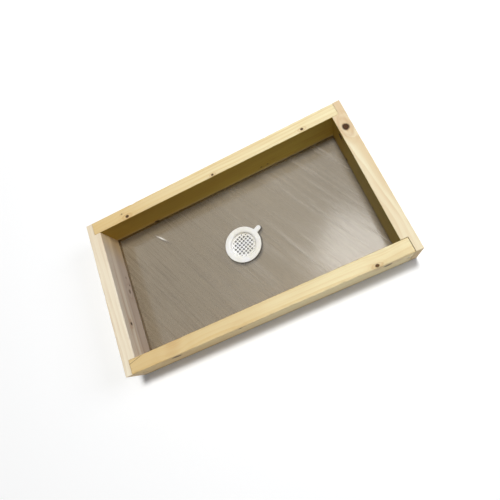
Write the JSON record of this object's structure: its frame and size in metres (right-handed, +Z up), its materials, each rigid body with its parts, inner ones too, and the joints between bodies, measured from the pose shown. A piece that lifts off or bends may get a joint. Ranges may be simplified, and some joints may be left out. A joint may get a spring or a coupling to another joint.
{
  "type": "hive top feeder",
  "caption": "Shallow rebated pine rim with a clear base sheet and a lift-out perforated white feed disc; it sits between a hive body and its roof so that bees can be fed.",
  "frame": {"origin": "centre of the rim's footprint, on the bottom face that sits on the hive", "axes": "+X along the long boards, +Y to the back, +Z up"},
  "size_m": [0.5, 0.282, 0.066],
  "materials": {
    "long_pine": "planed, unfinished",
    "end_pine": "planed, unfinished",
    "clear_sheet": "clear, lightly smoked",
    "white_plastic": "moulded, satin",
    "zinc": "zinc plated"
  },
  "bodies": {
    "rim": {"front_board": "long_pine", "back_board": "long_pine", "left_end_board": "end_pine", "right_end_board": "end_pine", "base_sheet": "clear_sheet", "front_left_upper_screw": "zinc", "front_left_lower_screw": "zinc", "front_left_side_screw": "zinc", "front_right_upper_screw": "zinc", "front_right_lower_screw": "zinc", "front_right_side_screw": "zinc", "back_left_upper_screw": "zinc", "back_left_lower_screw": "zinc", "back_left_side_screw": "zinc", "back_right_upper_screw": "zinc", "back_right_lower_screw": "zinc", "back_right_side_screw": "zinc"},
    "feed_disc": {"feed_disc": "white_plastic"}
  },
  "joints": [
    {"name": "disc_lift", "type": "slide", "parent": "rim", "child": "feed_disc", "axis": [0, 0, 1], "range_m": [0, 0.08]}
  ]
}
